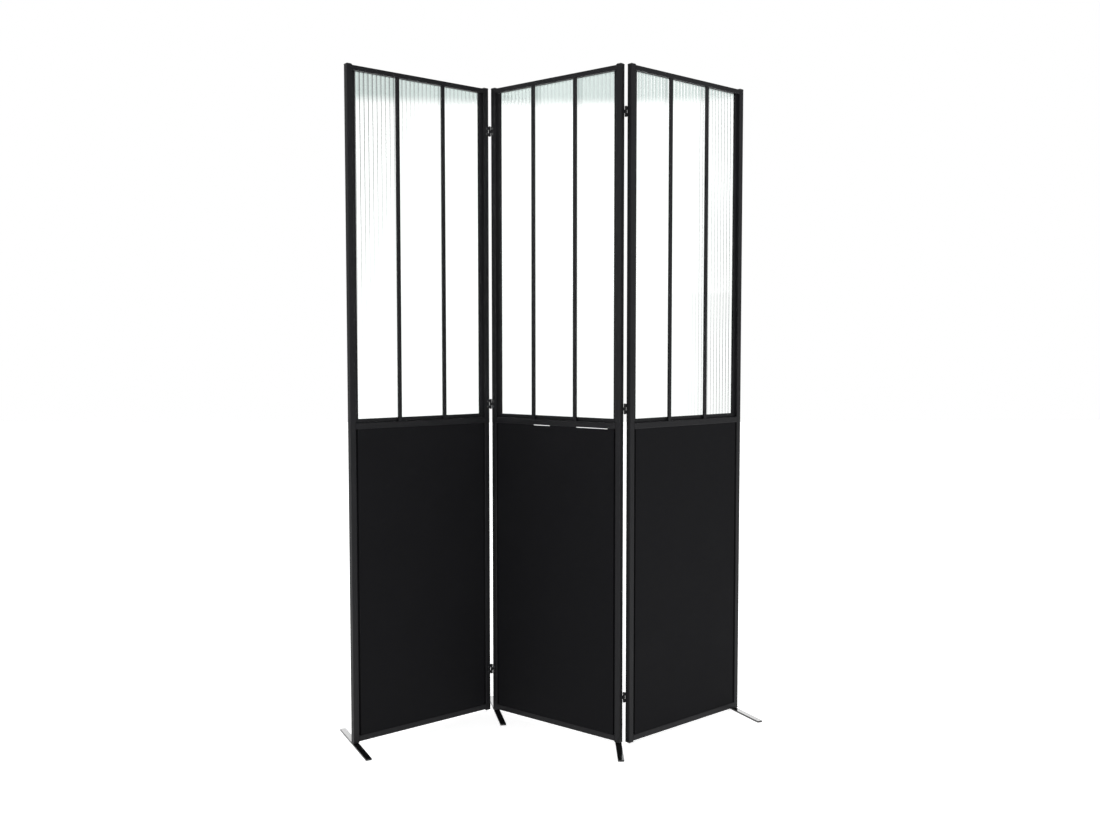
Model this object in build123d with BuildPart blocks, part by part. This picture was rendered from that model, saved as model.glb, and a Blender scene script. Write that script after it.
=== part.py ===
from build123d import *
import os
from math import cos, radians, sin

# Three-leaf folding screen of black powder-coated steel.
# Each leaf is a welded tube frame with a reeded glass pane above a raised sheet.
# Surface butt hinges join the leaves: on the front faces of the left fold and on
# the back faces of the right fold, so that the leaves stand in a zigzag.
# Four flat feet turn on one bolt each under the stiles.
# Lengths are millimetres. The floor is Z = 0, the viewer stands on the -Y side.

# Leaf frame
leaf_width = 424.5
stile_length = 1689.0
tube_side = 15.0
tube_wall = 1.2
tube_corner = 1.5
top_rail_height = 12.0
mid_rail_underside = 794.0

# Stance: how far each leaf is turned from the X axis, in degrees
left_yaw = 38.7
middle_yaw = -38.5
right_yaw = 40.5

# Glazing
pane_thickness = 4.0
reed_height = 0.8
reed_pitch = 12.2
pane_play = 0.2
pane_edge_play = 1.0
pane_top_catch = 3.0
channel_wall = 1.2
side_channel_leg = 11.0
sill_channel_leg = 10.0
channel_setback = 8.0
bar_setback = 1.0
bar_width = 10.0
bar_thickness = 5.0
bar_count = 2

# Raised sheet below the middle rail
sheet_thickness = 1.0
sheet_setback = 1.0
sheet_groove = 5.5
sheet_flange_setback = 6.0
sheet_bend_radius = 0.8

# The middle leaf's sheet falls short of its rail in two stretches, where light shows through
light_gap_height = 1.2
first_light_gap_middle = 173.0
first_light_gap_length = 54.0
second_light_gap_middle = 336.0
second_light_gap_length = 98.0

# Plugs in the tube ends
top_cap_thickness = 3.0
foot_plug_flange = 4.0
plain_plug_lift = 0.5
plug_chamfer = 1.8
plug_insert_depth = 18.0
plug_play = 0.1

# Feet and their bolts
foot_length = 240.0
foot_width = 16.0
foot_thickness = 4.0
foot_corner = 3.0
foot_edge = 0.6
bolt_radius = 3.0
bolt_head_radius = 6.0
bolt_head_lift = 0.4
bolt_reach = 16.0
bolt_play = 0.08
thread_play = 0.05

# Direction of each foot's front half, in degrees from straight out of its leaf
left_foot_turn = -13.0
middle_left_foot_turn = 49.5
middle_right_foot_turn = 38.0
right_foot_turn = -14.5

# Hinges
stile_gap = 3.5
hinge_height = 25.0
hinge_end_distance = 112.0
leaf_plate_thickness = 1.5
leaf_plate_reach = 11.0
leaf_plate_corner = 2.0
barrel_radius = 3.0
barrel_play = 0.3
knuckle_play = 0.2
hinge_pin_radius = 1.25
hinge_pin_play = 0.05
hinge_pin_head_radius = 2.2
hinge_pin_head_height = 1.0
screw_radius = 1.5
screw_head_radius = 2.8
screw_length = 8.0
screw_spacing = 14.0
screw_edge_distance = 4.0
screw_play = 0.05

# Worked-out heights and widths
frame_bottom = foot_thickness + foot_plug_flange
mid_rail_top = mid_rail_underside + tube_side
top_rail_underside = stile_length - top_rail_height
clear_width = leaf_width - 2 * tube_side
channel_slot = pane_thickness + 2 * pane_play
channel_width = channel_slot + 2 * channel_wall
pane_front = channel_setback + channel_wall + pane_play
pane_middle = pane_front + pane_thickness / 2
tube_bore = tube_side - 2 * tube_wall
hinge_levels = {
    "bottom": hinge_end_distance,
    "middle": stile_length / 2,
    "top": stile_length - hinge_end_distance,
}


def turned_frame(yaw):
    """A leaf's own axes at the world origin: X along the leaf, Y to its back, Z up."""
    along = (cos(radians(yaw)), sin(radians(yaw)), 0)
    return Plane(origin=(0, 0, 0), x_dir=along, z_dir=(0, 0, 1))


def at(frame, along, back, up=0.0):
    """World point of a place given in a leaf's own axes."""
    return frame.from_local_coords((along, back, up))


def foot_corners(pivot, heading):
    """Centres of a foot's four corner arcs, for a foot heading that many degrees from -Y."""
    half = foot_length / 2 - foot_corner
    side = foot_width / 2 - foot_corner
    ahead = Vector(sin(radians(heading)), -cos(radians(heading)), 0)
    across = Vector(cos(radians(heading)), sin(radians(heading)), 0)
    return [pivot + ahead * i * half + across * j * side for i in (-1, 1) for j in (-1, 1)]


def leaf_origins(left_fold):
    """Front left lower corner of each leaf, worked outwards from the left fold's axis."""
    middle = left_fold + at(turned_frame(middle_yaw), stile_gap / 2, barrel_radius)
    left = left_fold + at(turned_frame(left_yaw), -stile_gap / 2 - leaf_width, barrel_radius)
    reach = (leaf_width + stile_gap / 2, tube_side + barrel_radius)
    right_fold = middle + at(turned_frame(middle_yaw), *reach)
    right = right_fold + at(turned_frame(right_yaw), stile_gap / 2, -tube_side - barrel_radius)
    return {"left": left, "middle": middle, "right": right}, right_fold


# The feet reach furthest out on the floor, so the middle of their corners sets the origin
yaws = {"left": left_yaw, "middle": middle_yaw, "right": right_yaw}
stile_middle = {"left": tube_side / 2, "right": leaf_width - tube_side / 2}
feet = {
    "left_leaf_foot": ("left", "left", left_foot_turn),
    "middle_leaf_left_foot": ("middle", "left", middle_left_foot_turn),
    "middle_leaf_right_foot": ("middle", "right", middle_right_foot_turn),
    "right_leaf_foot": ("right", "right", right_foot_turn),
}


def foot_pivot(origins, leaf, stile):
    """Where a foot's bolt stands on the floor."""
    return origins[leaf] + at(turned_frame(yaws[leaf]), stile_middle[stile], tube_side / 2)


trial_origins, _ = leaf_origins(Vector(0, 0, 0))
trial_corners = []
for leaf, stile, turn in feet.values():
    pivot = foot_pivot(trial_origins, leaf, stile)
    trial_corners += foot_corners(pivot, yaws[leaf] + turn)
middle_x = (max(c.X for c in trial_corners) + min(c.X for c in trial_corners)) / 2
middle_y = (max(c.Y for c in trial_corners) + min(c.Y for c in trial_corners)) / 2
left_fold_axis = Vector(-middle_x, -middle_y, 0)
origins, right_fold_axis = leaf_origins(left_fold_axis)

leaf_frames = {}
for leaf, yaw in yaws.items():
    leaf_frames[leaf] = Plane(
        origin=origins[leaf] + Vector(0, 0, frame_bottom),
        x_dir=turned_frame(yaw).x_dir,
        z_dir=(0, 0, 1),
    )


def level_plane(frame, along, back, up):
    """Flat section plane: sketch X along the leaf, sketch Y to its back, extrudes up."""
    return Plane(origin=at(frame, along, back, up), x_dir=frame.x_dir, z_dir=frame.z_dir)


def cross_plane(frame, along, back, up):
    """Upright section plane: sketch X to the leaf's back, sketch Y up, extrudes along it."""
    return Plane(origin=at(frame, along, back, up), x_dir=frame.y_dir, z_dir=frame.x_dir)


def save(solid, name):
    """Label a finished piece and write it to its own file."""
    solid.label = name
    export_step(solid, f"parts/{name}.step")


# Hinge geometry, shared by the leaves, their screws and the drilled stiles
folds = {
    "left_fold": (left_fold_axis, {"left": (-1, -1), "middle": (1, 1)}),
    "right_fold": (right_fold_axis, {"middle": (-1, 1), "right": (1, -1)}),
}


def hinge_frame(fold, leaf, level):
    """Axes at the foot of one hinge: Z up its pin, X from the pin across the leaf's stile."""
    axis, sides = folds[fold]
    direction, _ = sides[leaf]
    height = frame_bottom + hinge_levels[level] - hinge_height / 2
    return Plane(
        origin=axis + Vector(0, 0, height),
        x_dir=turned_frame(yaws[leaf]).x_dir * direction,
        z_dir=(0, 0, 1),
    )


def screw_planes(fold, leaf, level, lift=0.0):
    """Planes of a hinge plate's two screws, facing away from the stile.

    The lift is measured from the stile's face.
    """
    frame = hinge_frame(fold, leaf, level)
    face_side = folds[fold][1][leaf][1]
    across = stile_gap / 2 + leaf_plate_reach - screw_edge_distance
    planes = []
    for step in (-1, 1):
        up = hinge_height / 2 + step * screw_spacing / 2
        place = at(frame, across, face_side * (barrel_radius - lift), up)
        planes.append(Plane(origin=place, x_dir=frame.x_dir, z_dir=frame.y_dir * -face_side))
    return planes


def leaf_screw_planes(leaf, lift=0.0):
    """Every screw plane of the hinges on one leaf."""
    planes = []
    for fold, (_, sides) in folds.items():
        if leaf in sides:
            for level in hinge_levels:
                planes += screw_planes(fold, leaf, level, lift)
    return planes


# Pieces of one leaf
def make_stile(leaf, stile):
    """Square tube the full height of the leaf, drilled where a hinge is screwed to it."""
    frame = leaf_frames[leaf]
    fold = {("left", "right"): "left_fold", ("middle", "left"): "left_fold",
            ("middle", "right"): "right_fold", ("right", "left"): "right_fold"}.get((leaf, stile))
    with BuildPart() as tube:
        with BuildSketch(level_plane(frame, stile_middle[stile], tube_side / 2, 0)):
            RectangleRounded(tube_side, tube_side, tube_corner)
            Rectangle(tube_bore, tube_bore, mode=Mode.SUBTRACT)
        extrude(amount=stile_length)
        if fold:
            for level in hinge_levels:
                with Locations(*screw_planes(fold, leaf, level)):
                    Hole(screw_radius + screw_play, depth=tube_side / 2)
    save(tube.part, f"{leaf}_leaf_{stile}_stile")


def make_rail(leaf, name, underside):
    """Square tube rail welded between the stiles."""
    frame = leaf_frames[leaf]
    with BuildPart() as rail:
        with BuildSketch(cross_plane(frame, tube_side, tube_side / 2, underside + tube_side / 2)):
            RectangleRounded(tube_side, tube_side, tube_corner)
            Rectangle(tube_bore, tube_bore, mode=Mode.SUBTRACT)
        extrude(amount=clear_width)
    save(rail.part, f"{leaf}_leaf_{name}")


def make_top_rail(leaf):
    """Top tube with a long slot in its underside, which takes the pane's upper edge."""
    frame = leaf_frames[leaf]
    half_height = top_rail_height / 2
    with BuildPart() as rail:
        with BuildSketch(cross_plane(frame, tube_side, tube_side / 2, stile_length - half_height)):
            RectangleRounded(tube_side, top_rail_height, tube_corner)
            Rectangle(tube_bore, top_rail_height - 2 * tube_wall, mode=Mode.SUBTRACT)
            with Locations((pane_middle - tube_side / 2, -half_height)):
                Rectangle(channel_slot, 2 * tube_wall, mode=Mode.SUBTRACT)
        extrude(amount=clear_width)
    save(rail.part, f"{leaf}_leaf_top_rail")


def make_side_channel(leaf, stile):
    """U channel welded to a stile, open towards the pane."""
    frame = leaf_frames[leaf]
    inward = 1 if stile == "left" else -1
    web = tube_side if stile == "left" else leaf_width - tube_side
    with BuildPart() as channel:
        with BuildSketch(level_plane(frame, web, pane_middle, mid_rail_top)):
            with Locations((inward * side_channel_leg / 2, 0)):
                Rectangle(side_channel_leg, channel_width)
            with Locations((inward * (side_channel_leg + channel_wall) / 2, 0)):
                Rectangle(side_channel_leg - channel_wall, channel_slot, mode=Mode.SUBTRACT)
        extrude(amount=top_rail_underside - mid_rail_top)
    save(channel.part, f"{leaf}_leaf_{stile}_channel")


def make_sill_channel(leaf):
    """U channel on the middle rail, between the side channels, that the pane stands in."""
    frame = leaf_frames[leaf]
    start = tube_side + side_channel_leg
    with BuildPart() as channel:
        with BuildSketch(cross_plane(frame, start, pane_middle, mid_rail_top)):
            with Locations((0, sill_channel_leg / 2)):
                Rectangle(channel_width, sill_channel_leg)
            with Locations((0, (sill_channel_leg + channel_wall) / 2)):
                Rectangle(channel_slot, sill_channel_leg - channel_wall, mode=Mode.SUBTRACT)
        extrude(amount=leaf_width - 2 * start)
    save(channel.part, f"{leaf}_leaf_sill_channel")


def make_pane(leaf):
    """Reeded pane: a flat back and rounded vertical reeds side by side on the front."""
    frame = leaf_frames[leaf]
    width = clear_width - 2 * (channel_wall + pane_edge_play)
    foot = mid_rail_top + channel_wall
    top = top_rail_underside + pane_top_catch
    reeds = round(width / reed_pitch)
    pitch = width / reeds
    with BuildPart() as pane:
        with BuildSketch(level_plane(frame, leaf_width / 2, pane_front + reed_height, foot)):
            with BuildLine():
                for reed in range(reeds):
                    start = -width / 2 + reed * pitch
                    ThreePointArc((start, 0), (start + pitch / 2, -reed_height), (start + pitch, 0))
                back = pane_thickness - reed_height
                Polyline((width / 2, 0), (width / 2, back), (-width / 2, back), (-width / 2, 0))
            make_face()
        extrude(amount=top - foot)
    save(pane.part, f"{leaf}_leaf_reeded_pane")


def make_bars(leaf):
    """Flat bars welded upright from the middle rail to the top rail, in front of the pane."""
    frame = leaf_frames[leaf]
    spacing = (leaf_width - tube_side) / (bar_count + 1)
    middle = bar_setback + bar_thickness / 2
    with BuildPart() as bars:
        with BuildSketch(level_plane(frame, leaf_width / 2, middle, mid_rail_top)):
            with GridLocations(spacing, 1, bar_count, 1):
                Rectangle(bar_width, bar_thickness)
        extrude(amount=top_rail_underside - mid_rail_top)
    save(bars.part, f"{leaf}_leaf_glazing_bars")


def make_sheet(leaf):
    """Sheet with a raised field, whose stepped edges are welded to the stiles."""
    frame = leaf_frames[leaf]
    field = clear_width - 2 * sheet_groove
    web_depth = sheet_flange_setback - sheet_setback + sheet_thickness
    flange = sheet_groove + sheet_thickness
    height = mid_rail_underside - tube_side
    with BuildPart() as sheet:
        with BuildSketch(level_plane(frame, leaf_width / 2, sheet_setback, tube_side)):
            with Locations((0, sheet_thickness / 2)):
                Rectangle(field, sheet_thickness)
            for side in (-1, 1):
                with Locations((side * (field - sheet_thickness) / 2, web_depth / 2)):
                    Rectangle(sheet_thickness, web_depth)
                with Locations((side * (clear_width - flange) / 2, web_depth - sheet_thickness / 2)):
                    Rectangle(flange, sheet_thickness)
        extrude(amount=height)
        # The two upright edges at the front of the raised field are bent round
        front_edges = sheet.edges().filter_by(Axis.Z).group_by(Axis(at(frame, 0, 0), frame.y_dir))[0]
        fillet(front_edges, sheet_bend_radius)
        if leaf == "middle":
            gaps = {
                first_light_gap_middle: first_light_gap_length,
                second_light_gap_middle: second_light_gap_length,
            }
            for middle, length in gaps.items():
                with BuildSketch(level_plane(frame, middle, sheet_setback, mid_rail_underside)):
                    Rectangle(length, 3 * sheet_thickness)
                extrude(amount=-light_gap_height, mode=Mode.SUBTRACT)
    save(sheet.part, f"{leaf}_leaf_raised_sheet")


def make_plugs(leaf):
    """Nylon plugs in the four tube ends: caps above, and below either a foot plug or a cap."""
    frame = leaf_frames[leaf]
    footed = [stile for home, stile, _ in feet.values() if home == leaf]
    insert_side = tube_bore - 2 * plug_play
    with BuildPart() as plugs:
        for stile, middle in stile_middle.items():
            bottom_flange = foot_plug_flange if stile in footed else foot_plug_flange - plain_plug_lift
            for end, flange, outward in ((stile_length, top_cap_thickness, 1), (0, bottom_flange, -1)):
                plane = level_plane(frame, middle, tube_side / 2, end)
                with BuildPart(mode=Mode.PRIVATE) as plug:
                    with BuildSketch(plane):
                        Rectangle(tube_side, tube_side)
                    extrude(amount=outward * flange)
                    outer_face = plug.faces().sort_by(Axis.Z)[-1 if outward > 0 else 0]
                    chamfer(outer_face.edges(), plug_chamfer)
                    with BuildSketch(plane):
                        Rectangle(insert_side, insert_side)
                    extrude(amount=-outward * plug_insert_depth)
                    if outward < 0 and stile in footed:
                        with Locations(plane):
                            Hole(bolt_radius + thread_play)
                add(plug.part)
    save(plugs.part, f"{leaf}_leaf_end_plugs")


# Feet
def bolt_profile(play):
    """Half section of a countersunk bolt that points up, grown by a running clearance."""
    neck = bolt_head_lift + bolt_head_radius - bolt_radius
    with BuildSketch(Plane.XZ) as profile:
        with BuildLine():
            Polyline(
                (0, bolt_head_lift),
                (bolt_head_radius + play, bolt_head_lift),
                (bolt_radius + play, neck),
                (bolt_radius + play, foot_thickness + bolt_reach),
                (0, foot_thickness + bolt_reach),
                close=True,
            )
        make_face()
    return profile.sketch


def make_foot(name, leaf, stile, turn):
    """Flat bar with rounded corners, countersunk from below for its bolt."""
    pivot = foot_pivot(origins, leaf, stile)
    with BuildPart(mode=Mode.PRIVATE) as bolt_space:
        add(bolt_profile(bolt_play))
        revolve(axis=Axis.Z)
        with BuildSketch(Plane.XY.offset(-bolt_head_lift)):
            Circle(bolt_head_radius + bolt_play)
        extrude(amount=2 * bolt_head_lift)
    with BuildPart() as foot:
        with BuildSketch(Plane.XY):
            RectangleRounded(foot_width, foot_length, foot_corner)
        extrude(amount=foot_thickness)
        chamfer(foot.faces().sort_by(Axis.Z)[-1].edges(), foot_edge)
        add(bolt_space.part, mode=Mode.SUBTRACT)
    heading = yaws[leaf] + turn
    save(foot.part.locate(Location(pivot, (0, 0, heading))), name)


def make_foot_bolts(leaf):
    """Countersunk bolts, each turned up through its foot into the plug above."""
    pivots = [foot_pivot(origins, home, stile) for home, stile, _ in feet.values() if home == leaf]
    with BuildPart(mode=Mode.PRIVATE) as bolt:
        add(bolt_profile(0))
        revolve(axis=Axis.Z)
    with BuildPart() as bolts:
        with Locations(*pivots):
            add(bolt.part)
    save(bolts.part, f"{leaf}_leaf_foot_bolts")


# Hinges
knuckle_length = (hinge_height - 2 * knuckle_play) / 3
end_knuckles = [(0, knuckle_length), (hinge_height - knuckle_length, hinge_height)]
middle_knuckle = [(knuckle_length + knuckle_play, hinge_height - knuckle_length - knuckle_play)]


def make_hinge_plate(fold, leaf, level):
    """Half of a butt hinge: a countersunk plate on the stile's face, rolled into knuckles."""
    frame = hinge_frame(fold, leaf, level)
    face_side = folds[fold][1][leaf][1]
    knuckles = middle_knuckle if leaf == "middle" else end_knuckles
    plate_middle = face_side * (barrel_radius - leaf_plate_thickness / 2)
    plate_start = barrel_radius + barrel_play
    plate_end = stile_gap / 2 + leaf_plate_reach
    with BuildPart() as plate:
        with BuildSketch(frame):
            with Locations(((plate_start + plate_end) / 2, plate_middle)):
                Rectangle(plate_end - plate_start, leaf_plate_thickness)
        extrude(amount=hinge_height)
        outer_edges = plate.edges().filter_by(Axis(frame.origin, frame.y_dir))
        fillet(outer_edges.group_by(Axis(frame.origin, frame.x_dir))[-1], leaf_plate_corner)
        for low, high in knuckles:
            with BuildSketch(frame.offset(low)):
                with Locations((plate_start / 2, plate_middle)):
                    Rectangle(plate_start, leaf_plate_thickness)
                Circle(barrel_radius)
                Circle(hinge_pin_radius + hinge_pin_play, mode=Mode.SUBTRACT)
            extrude(amount=high - low)
        with Locations(*screw_planes(fold, leaf, level, leaf_plate_thickness)):
            CounterSinkHole(screw_radius + screw_play, screw_head_radius + screw_play, counter_sink_angle=90)
    save(plate.part, f"{fold}_{level}_hinge_{leaf}_plate")


def make_hinge_pins(fold):
    """The three pins of one fold, each headed over at both ends."""
    axis, _ = folds[fold]
    with BuildPart() as pins:
        for level in hinge_levels.values():
            foot = axis + Vector(0, 0, frame_bottom + level - hinge_height / 2)
            with BuildSketch(Plane(origin=foot, z_dir=(0, 0, 1))):
                Circle(hinge_pin_radius)
            extrude(amount=hinge_height)
            for up, outward in ((0, -1), (hinge_height, 1)):
                with BuildSketch(Plane(origin=foot + Vector(0, 0, up), z_dir=(0, 0, 1))):
                    Circle(hinge_pin_head_radius)
                extrude(amount=outward * hinge_pin_head_height)
    save(pins.part, f"{fold}_hinge_pins")


def make_hinge_screws(leaf):
    """Countersunk screws that hold the hinge plates of one leaf."""
    with BuildPart(mode=Mode.PRIVATE) as screw:
        with BuildSketch(Plane.XZ):
            with BuildLine():
                Polyline(
                    (0, 0),
                    (screw_head_radius, 0),
                    (screw_radius, screw_radius - screw_head_radius),
                    (screw_radius, -screw_length),
                    (0, -screw_length),
                    close=True,
                )
            make_face()
        revolve(axis=Axis.Z)
    with BuildPart() as screws:
        with Locations(*leaf_screw_planes(leaf, leaf_plate_thickness)):
            add(screw.part)
    save(screws.part, f"{leaf}_leaf_hinge_screws")


os.makedirs("parts", exist_ok=True)

for leaf in yaws:
    for stile in stile_middle:
        make_stile(leaf, stile)
        make_side_channel(leaf, stile)
    make_top_rail(leaf)
    make_rail(leaf, "middle_rail", mid_rail_underside)
    make_rail(leaf, "bottom_rail", 0)
    make_sill_channel(leaf)
    make_pane(leaf)
    make_bars(leaf)
    make_sheet(leaf)
    make_plugs(leaf)
    make_foot_bolts(leaf)
    make_hinge_screws(leaf)

for name, (leaf, stile, turn) in feet.items():
    make_foot(name, leaf, stile, turn)

for fold, (_, sides) in folds.items():
    for leaf in sides:
        for level in hinge_levels:
            make_hinge_plate(fold, leaf, level)
    make_hinge_pins(fold)
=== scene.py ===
import math

import bpy
import numpy as np
from mathutils import Matrix, Vector


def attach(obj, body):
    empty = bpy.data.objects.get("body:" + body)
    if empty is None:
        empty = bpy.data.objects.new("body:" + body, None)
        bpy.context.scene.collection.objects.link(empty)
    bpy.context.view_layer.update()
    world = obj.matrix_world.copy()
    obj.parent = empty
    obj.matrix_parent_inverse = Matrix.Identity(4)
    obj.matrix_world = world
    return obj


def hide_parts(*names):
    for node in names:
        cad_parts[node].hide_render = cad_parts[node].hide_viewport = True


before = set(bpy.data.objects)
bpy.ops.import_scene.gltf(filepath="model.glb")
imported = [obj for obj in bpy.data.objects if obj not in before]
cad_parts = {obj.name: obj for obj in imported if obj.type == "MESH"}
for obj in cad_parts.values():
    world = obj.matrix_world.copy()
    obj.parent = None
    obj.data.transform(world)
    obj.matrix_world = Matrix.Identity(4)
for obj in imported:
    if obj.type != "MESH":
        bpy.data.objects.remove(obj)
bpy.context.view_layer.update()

MM = 0.001
METRE = 1000

# Sizes of the screen, in millimetres, as the solids have them
LEAF_WIDTH = 424.5
STILE_LENGTH = 1689.0
TUBE = 15.0
FRAME_BOTTOM = 8.0
TOP_RAIL_HEIGHT = 12.0
MID_RAIL_TOP = 809.0
CHANNEL_WALL = 1.2
# The reeds' crests lie this far behind the leaf's front face
PANE_FRONT = 9.4
PANE_THICKNESS = 4.0
PANE_EDGE_PLAY = 1.0
PANE_TOP_CATCH = 3.0
REED_HEIGHT = 0.8
REED_PITCH = 12.2
REED_FACETS = 10
# Degrees: the facets of one reed meet at less, and two reeds meet at more
SMOOTH_BELOW = 12
# Between two leaves at a fold, and from a leaf's face to its pins' axis
FOLD_GAP = 3.5
BARREL = 3.0
# The left fold's axis on the floor, and the leaves' turns in degrees
LEFT_FOLD = (-170.219, 124.089)
YAWS = {"left": 38.7, "middle": -38.5, "right": 40.5}


def leaf_axes(leaf):
    """Unit vectors along a leaf, left to right, and to its back."""
    yaw = math.radians(YAWS[leaf])
    return np.array([math.cos(yaw), math.sin(yaw)]), np.array([-math.sin(yaw), math.cos(yaw)])


def leaf_corners():
    """Front left corner of each leaf, walked outwards from the left fold's axis."""
    along = {leaf: leaf_axes(leaf)[0] for leaf in YAWS}
    back = {leaf: leaf_axes(leaf)[1] for leaf in YAWS}
    middle = np.array(LEFT_FOLD) + along["middle"] * FOLD_GAP / 2 + back["middle"] * BARREL
    left = np.array(LEFT_FOLD) - along["left"] * (FOLD_GAP / 2 + LEAF_WIDTH) + back["left"] * BARREL
    right_fold = middle + along["middle"] * (LEAF_WIDTH + FOLD_GAP / 2) + back["middle"] * (TUBE + BARREL)
    right = right_fold + along["right"] * FOLD_GAP / 2 - back["right"] * (TUBE + BARREL)
    return {"left": left, "middle": middle, "right": right}


CORNERS = leaf_corners()


def place(leaf, across, behind, up):
    """World points in metres.

    The arrays are millimetres along the leaf, behind its front face and above its stiles' foot.
    """
    along, back = leaf_axes(leaf)
    across, behind, up = np.broadcast_arrays(across, behind, up)
    floor_plan = CORNERS[leaf] + across[..., None] * along + behind[..., None] * back
    return np.concatenate([floor_plan, (up + FRAME_BOTTOM)[..., None]], axis=-1) * MM


def linear(hex_colour):
    """Linear red, green, blue and alpha of an sRGB hex colour."""
    shares = np.array([int(hex_colour[i:i + 2], 16) for i in (1, 3, 5)]) / 255
    shares = np.where(shares <= 0.04045, shares / 12.92, ((shares + 0.055) / 1.055) ** 2.4)
    return (*shares.tolist(), 1.0)


def add_node(tree, kind, settings=(), links=()):
    """Adds one node, sets its fields or inputs, and links (input, socket) pairs."""
    node = tree.nodes.new(kind)
    for name, value in dict(settings).items():
        if isinstance(name, str) and hasattr(node, name):
            setattr(node, name, value)
        else:
            node.inputs[name].default_value = value
    for name, socket in dict(links).items():
        tree.links.new(socket, node.inputs[name])
    return node


def new_material(name):
    """A material with an empty node tree, and its tree."""
    material = bpy.data.materials.new(name)
    material.use_nodes = True
    material.node_tree.nodes.clear()
    return material, material.node_tree


def dark_finish(name, dark, light, rough_low, rough_high, bump_mm, bump_height_mm, specular=0.5):
    """A dark surface: two near shades in soft clouds, roughness that follows them, fine bumps."""
    # Clouds as wide as a sprayed film's drift, from noise that lies mostly between 0.3 and 0.7
    cloud_mm = 90
    noise_range = {"From Min": 0.3, "From Max": 0.7}
    material, tree = new_material(name)
    where = add_node(tree, "ShaderNodeTexCoord").outputs["Object"]
    cloud = add_node(
        tree, "ShaderNodeTexNoise", {"Scale": METRE / cloud_mm, "Detail": 4.0}, {"Vector": where}
    )
    bumps = add_node(
        tree, "ShaderNodeTexNoise", {"Scale": METRE / bump_mm, "Detail": 3.0}, {"Vector": where}
    )
    spread = add_node(tree, "ShaderNodeMapRange", noise_range, {"Value": cloud.outputs[0]})
    shade = add_node(
        tree, "ShaderNodeMix",
        {"data_type": "RGBA", 6: linear(dark), 7: linear(light)}, {0: spread.outputs[0]},
    )
    rough = add_node(
        tree, "ShaderNodeMapRange",
        {**noise_range, "To Min": rough_low, "To Max": rough_high}, {"Value": cloud.outputs[0]},
    )
    bump = add_node(
        tree, "ShaderNodeBump",
        {"Strength": 1.0, "Distance": bump_height_mm * MM}, {"Height": bumps.outputs[0]},
    )
    shader = add_node(
        tree, "ShaderNodeBsdfPrincipled",
        {"Specular IOR Level": specular},
        {"Base Color": shade.outputs[2], "Roughness": rough.outputs[0], "Normal": bump.outputs[0]},
    )
    add_node(tree, "ShaderNodeOutputMaterial", {}, {"Surface": shader.outputs[0]})
    return material


# Polyester powder coat, sprayed and baked on the tubes: black, satin, with a fine orange peel
POWDER_COAT = dark_finish(
    "black_satin_powder_coat_on_tube", "#18181a", "#1c1c1e", 0.42, 0.52, 1.6, 0.012, 0.18
)
# The same coat on pressed sheet: flatter, so it shows less of the room
SHEET_COAT = dark_finish(
    "black_matt_powder_coat_on_sheet", "#131315", "#151517", 0.66, 0.76, 1.6, 0.012, 0.07
)
# The same coat, smooth and glossy on the flat bars of the feet, so their tops mirror the room
FOOT_COAT = dark_finish(
    "black_gloss_powder_coat_on_flat_bar", "#0e0e0f", "#131314", 0.06, 0.12, 2.5, 0.002
)
# Moulded nylon end plugs: slightly greyer, with the fine texture of a spark-eroded mould
NYLON = dark_finish("black_moulded_nylon", "#1c1c1e", "#222224", 0.5, 0.62, 0.7, 0.01, 0.3)
# Turned steel of screws, bolts and pins under a thin black oxide: greyer and shinier than the coat
BLACKENED = dark_finish("black_oxide_steel", "#1c1c1e", "#2c2c2e", 0.3, 0.42, 0.9, 0.006, 0.7)


def reeded_glass():
    """Rolled soda-lime glass: clear, faintly green, the rolled face gently uneven along its reeds."""
    # The rollers leave waves 25 mm apart across the pane, and about eight times as long up it
    wave_mm = 25
    wave_height_mm = 0.02
    drawn_out = (1.0, 1.0, 0.12)
    material, tree = new_material("reeded_rolled_glass")
    where = add_node(tree, "ShaderNodeTexCoord").outputs["Object"]
    drawn = add_node(tree, "ShaderNodeMapping", {"Scale": drawn_out}, {"Vector": where})
    waves = add_node(
        tree, "ShaderNodeTexNoise", {"Scale": METRE / wave_mm, "Detail": 2.0}, {"Vector": drawn.outputs[0]}
    )
    tint = add_node(
        tree, "ShaderNodeMix",
        {"data_type": "RGBA", 6: linear("#f7fbf9"), 7: linear("#fbfdfc")}, {0: waves.outputs[0]},
    )
    rough = add_node(
        tree, "ShaderNodeMapRange", {"To Min": 0.0, "To Max": 0.03}, {"Value": waves.outputs[0]}
    )
    bump = add_node(
        tree, "ShaderNodeBump",
        {"Strength": 1.0, "Distance": wave_height_mm * MM}, {"Height": waves.outputs[0]},
    )
    shader = add_node(
        tree, "ShaderNodeBsdfPrincipled",
        {"Transmission Weight": 1.0, "IOR": 1.52},
        {"Base Color": tint.outputs[2], "Roughness": rough.outputs[0], "Normal": bump.outputs[0]},
    )
    add_node(tree, "ShaderNodeOutputMaterial", {}, {"Surface": shader.outputs[0]})
    return material


GLASS = reeded_glass()


def mesh_piece(name, points, faces, material, body):
    """A mesh object at the origin from points and faces, riding on a body."""
    mesh = bpy.data.meshes.new(name)
    mesh.from_pydata(points.reshape(-1, 3).tolist(), [], faces)
    mesh.materials.append(material)
    mesh.polygons.foreach_set("use_smooth", np.ones(len(mesh.polygons), bool))
    mesh.set_sharp_from_angle(angle=math.radians(SMOOTH_BELOW))
    mesh.update()
    piece = bpy.data.objects.new(name, mesh)
    bpy.context.scene.collection.objects.link(piece)
    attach(piece, body)
    return piece


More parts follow.
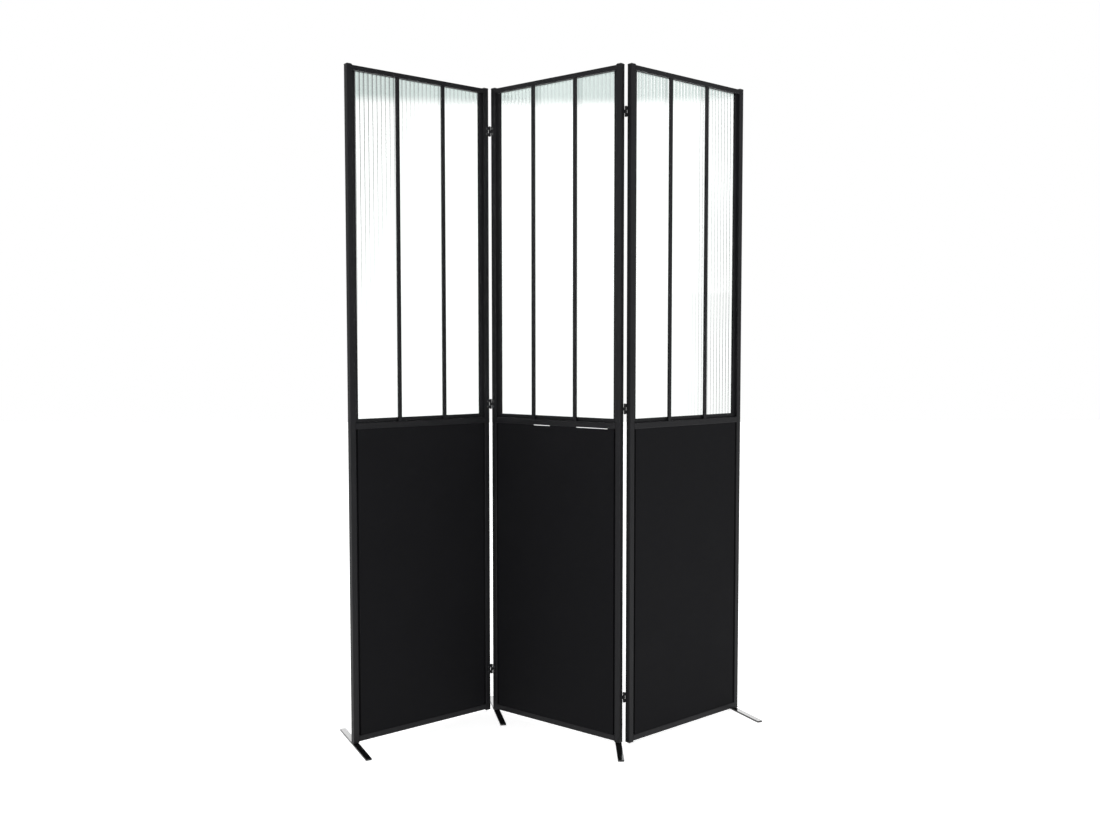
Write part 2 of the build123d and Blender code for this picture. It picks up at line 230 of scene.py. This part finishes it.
def prism_faces(count, rings):
    """Quads between rings of a closed outline, and the two end polygons."""
    here = np.arange(count)
    after = (here + 1) % count
    faces = []
    for ring in range(rings - 1):
        low, high = ring * count, (ring + 1) * count
        faces += np.stack([low + here, low + after, high + after, high + here], axis=1).tolist()
    last = (rings - 1) * count
    return faces + [here[::-1].tolist(), (last + here).tolist()]


def reeded_pane(leaf):
    """Pane of reeded glass: one outline in plan, carried straight up.

    The front is a row of rounded reeds. Over each, x runs from -1 to 1 and the face lies
    height * x^2 behind the crest, which is within 0.01 mm of the solid's arc. The back is flat.
    """
    width = LEAF_WIDTH - 2 * TUBE - 2 * (CHANNEL_WALL + PANE_EDGE_PLAY)
    reeds = round(width / REED_PITCH)
    reeds_passed = np.arange(reeds * REED_FACETS + 1) / REED_FACETS
    x = 2 * (reeds_passed % 1) - 1
    front = PANE_FRONT + REED_HEIGHT * x**2
    across = (LEAF_WIDTH - width) / 2 + reeds_passed * width / reeds
    outline_across = np.concatenate([across, across[::-1][[0, -1]]])
    outline_behind = np.concatenate([front, np.full(2, PANE_FRONT + PANE_THICKNESS)])
    foot = MID_RAIL_TOP + CHANNEL_WALL
    top = STILE_LENGTH - TOP_RAIL_HEIGHT + PANE_TOP_CATCH
    ends = np.array([foot, top])[:, None]
    points = place(leaf, outline_across[None, :], outline_behind[None, :], ends)
    faces = prism_faces(outline_across.size, 2)
    pane = mesh_piece(f"{leaf}_reeded_glass", points, faces, GLASS, f"{leaf}_leaf")
    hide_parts(f"{leaf}_leaf_reeded_pane")


for leaf in YAWS:
    reeded_pane(leaf)

# The CAD nodes that stay get their finish by what they are, and the rest is coated tube and bar
FINISHES = {
    "_end_plugs": NYLON,
    "_hinge_screws": BLACKENED,
    "_foot_bolts": BLACKENED,
    "_hinge_pins": BLACKENED,
    "_foot": FOOT_COAT,
    "_raised_sheet": SHEET_COAT,
}
for name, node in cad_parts.items():
    finishes = [finish for ending, finish in FINISHES.items() if name.endswith(ending)]
    node.data.materials.clear()
    node.data.materials.append((finishes + [POWDER_COAT])[0])


def pale_floor():
    """One flat square at Z = 0, so wide that its edge is out of sight."""
    reach = 12.0
    grain_mm = 25
    # A little light of its own keeps it as white as the paper behind
    glow = 0.65
    material, tree = new_material("matte_white_studio_vinyl")
    where = add_node(tree, "ShaderNodeTexCoord").outputs["Object"]
    grain = add_node(
        tree, "ShaderNodeTexNoise", {"Scale": METRE / grain_mm, "Detail": 3.0}, {"Vector": where}
    )
    shade = add_node(
        tree, "ShaderNodeMix",
        {"data_type": "RGBA", 6: linear("#f6f6f6"), 7: linear("#fafafa")}, {0: grain.outputs[0]},
    )
    matte = {"Roughness": 0.9, "Specular IOR Level": 0.1}
    shader = add_node(
        tree, "ShaderNodeBsdfPrincipled",
        {**matte, "Emission Strength": glow, "Emission Color": linear("#ffffff")},
        {"Base Color": shade.outputs[2]},
    )
    add_node(tree, "ShaderNodeOutputMaterial", {}, {"Surface": shader.outputs[0]})
    corners = [(-reach, -reach, 0), (reach, -reach, 0), (reach, reach, 0), (-reach, reach, 0)]
    mesh = bpy.data.meshes.new("floor")
    mesh.from_pydata(corners, [], [(0, 1, 2, 3)])
    mesh.materials.append(material)
    floor = bpy.data.objects.new("floor", mesh)
    bpy.context.scene.collection.objects.link(floor)


pale_floor()


def add_light(name, kind, power, position, aim):
    """Adds a light at a position, facing a point, and returns its settings."""
    light = bpy.data.lights.new(name, kind)
    light.energy = power
    lamp = bpy.data.objects.new(name, light)
    lamp.location = position
    lamp.rotation_euler = (Vector(aim) - Vector(position)).to_track_quat("-Z", "Y").to_euler()
    bpy.context.scene.collection.objects.link(lamp)
    return light


# A wide soft light from straight above is even over the whole floor
add_light("ceiling", "SUN", 1.8, (0, 0, 5), (0, 0, 0)).angle = math.radians(110)
# Weak soft boxes left and right, above the middle rails, and a stronger one over the viewer:
# watts, metres of the place and of what it faces, and metres wide and high
SOFT_BOXES = {
    "left_soft_box": (18, (-3.5, -0.2, 2.1), (0, -0.2, 1.5), (2.6, 1.6)),
    "right_soft_box": (12, (3.5, -0.2, 2.1), (0, -0.2, 1.5), (2.6, 1.6)),
    "front_soft_box": (65, (0, -4.4, 2.4), (0, 0, 1.1), (3.2, 1.6)),
}
for name, (power, position, aim, size) in SOFT_BOXES.items():
    box = add_light(name, "AREA", power, position, aim)
    box.shape = "RECTANGLE"
    box.size, box.size_y = size


def studio_world():
    """White paper behind the screen, with a dimmer room round it and a light bank over it.

    Every border is a smooth step of the unit direction's x, to the right, y, away from the
    viewer, or z, up. The paper ends at z = 0.216. The wall above it is grey-green and darker to
    the sides, with white beyond |x| = 0.26. On the left the paper ends where x - z / 4 = -0.32,
    on the right where x = 0.35. The bank lies between z = 0.26 and z = 0.34 + |x| / 5.
    """
    paper_strength = 1.2
    bank_extra = 2.6
    white, dim_room, dark_room = "#ffffff", "#4a4b4c", "#2c2d2e"
    world = bpy.data.worlds.new("studio")
    bpy.context.scene.world = world
    world.use_nodes = True
    tree = world.node_tree
    tree.nodes.clear()
    direction = add_node(tree, "ShaderNodeTexCoord").outputs["Generated"]
    path = add_node(tree, "ShaderNodeLightPath").outputs
    across, depth, height = add_node(tree, "ShaderNodeSeparateXYZ", {}, {0: direction}).outputs
    aside = add_node(tree, "ShaderNodeMath", {"operation": "ABSOLUTE"}, {0: across}).outputs[0]
    slanted = add_node(
        tree, "ShaderNodeMath", {"operation": "MULTIPLY_ADD", 1: -0.25}, {0: height, 2: across}
    ).outputs[0]
    lowered = add_node(
        tree, "ShaderNodeMath", {"operation": "MULTIPLY_ADD", 1: -0.2}, {0: aside, 2: height}
    ).outputs[0]
    # What is measured, where the step leaves 0, and where it reaches 1
    borders = {
        "behind_screen": (depth, 0.0, 0.3),
        "to_the_side": (aside, 0.13, 0.23),
        "outside_wall": (aside, 0.25, 0.28),
        "above_paper": (height, 0.211, 0.222),
        "right_of_paper": (across, 0.322, 0.39),
        "left_of_paper": (slanted, -0.3, -0.34),
        "near_paper": (aside, 0.55, 0.45),
        "over_bank_foot": (height, 0.25, 0.28),
        "under_bank_top": (lowered, 0.345, 0.335),
        "well_behind": (depth, 0.5, 0.7),
    }
    share = {"through_glass": path["Is Transmission Ray"]}
    for name, (value, start, end) in borders.items():
        share[name] = add_node(
            tree, "ShaderNodeMapRange",
            {"interpolation_type": "SMOOTHSTEP", "From Min": start, "From Max": end}, {"Value": value},
        ).outputs[0]
    joined = {
        "beside_paper": ("MAXIMUM", "right_of_paper", "left_of_paper"),
        "strip": ("MULTIPLY", "beside_paper", "near_paper"),
        "bank_band": ("MULTIPLY", "over_bank_foot", "under_bank_top"),
        "bank": ("MULTIPLY", "bank_band", "well_behind"),
    }
    for name, (operation, one, other) in joined.items():
        share[name] = add_node(
            tree, "ShaderNodeMath", {"operation": operation}, {0: share[one], 1: share[other]}
        ).outputs[0]
    # Each colour is mixed by a share from two, hex colours or ones mixed before it. Rays that
    # went through glass see the paper on every side, ended by two narrow dark strips. The others
    # see the dim room beside the paper and behind the viewer, and the light bank.
    mixes = {
        "wall": ("to_the_side", "#c6d0ce", "#a3abaa"),
        "wall_and_ends": ("outside_wall", "wall", white),
        "back": ("above_paper", white, "wall_and_ends"),
        "seen_through_glass": ("strip", "back", dim_room),
        "back_and_room": ("beside_paper", "back", dim_room),
        "back_and_bank": ("bank", "back_and_room", white),
        "all_round": ("behind_screen", dark_room, "back_and_bank"),
        "room": ("through_glass", "all_round", "seen_through_glass"),
    }
    colour = {}
    for name, (factor, *ends) in mixes.items():
        inputs = dict(zip((6, 7), ends))
        flat = {i: linear(end) for i, end in inputs.items() if end not in colour}
        mixed = {i: colour[end] for i, end in inputs.items() if end in colour}
        colour[name] = add_node(
            tree, "ShaderNodeMix", {"data_type": "RGBA", **flat}, {0: share[factor], **mixed}
        ).outputs[2]
    strength = add_node(
        tree, "ShaderNodeMath",
        {"operation": "MULTIPLY_ADD", 1: bank_extra, 2: paper_strength}, {0: share["bank"]},
    ).outputs[0]
    reflected = add_node(
        tree, "ShaderNodeBackground", {}, {"Color": colour["room"], "Strength": strength}
    )
    seen = add_node(tree, "ShaderNodeBackground", {"Color": linear(white), "Strength": 1.0})
    both = add_node(
        tree, "ShaderNodeMixShader", {},
        {0: path["Is Camera Ray"], 1: reflected.outputs[0], 2: seen.outputs[0]},
    )
    add_node(tree, "ShaderNodeOutputWorld", {}, {"Surface": both.outputs[0]})


studio_world()
bpy.context.scene.view_settings.view_transform = "Standard"

# The photograph's viewpoint, found from the perspective of the leaves' edges: metres and degrees
PHOTO_WIDTH_PIXELS = 1100
FOCAL_PIXELS = 1090.66
SENSOR_MM = 36.0
CAMERA_PLACE = (-0.0173, -2.8451, 1.0034)
CAMERA_YAW, CAMERA_PITCH, CAMERA_ROLL = 0.1688, -3.3371, -0.0331


def aim_camera():
    """A camera that looks along +Y, turned right by its yaw, up by its pitch, and rolled last."""
    data = bpy.data.cameras.new("camera")
    data.sensor_width = SENSOR_MM
    data.lens = FOCAL_PIXELS * SENSOR_MM / PHOTO_WIDTH_PIXELS
    data.clip_end = 200
    camera = bpy.data.objects.new("camera", data)
    yaw, pitch, roll = (math.radians(turn) for turn in (CAMERA_YAW, CAMERA_PITCH, CAMERA_ROLL))
    forward = Vector((math.sin(yaw) * math.cos(pitch), math.cos(yaw) * math.cos(pitch), math.sin(pitch)))
    right = Vector((math.cos(yaw), -math.sin(yaw), 0))
    up = right.cross(forward)
    rolled_right = right * math.cos(roll) + up * math.sin(roll)
    rolled_up = up * math.cos(roll) - right * math.sin(roll)
    turn = Matrix((rolled_right, rolled_up, -forward)).transposed()
    camera.matrix_world = Matrix.Translation(CAMERA_PLACE) @ turn.to_4x4()
    bpy.context.scene.collection.objects.link(camera)
    bpy.context.scene.camera = camera


aim_camera()
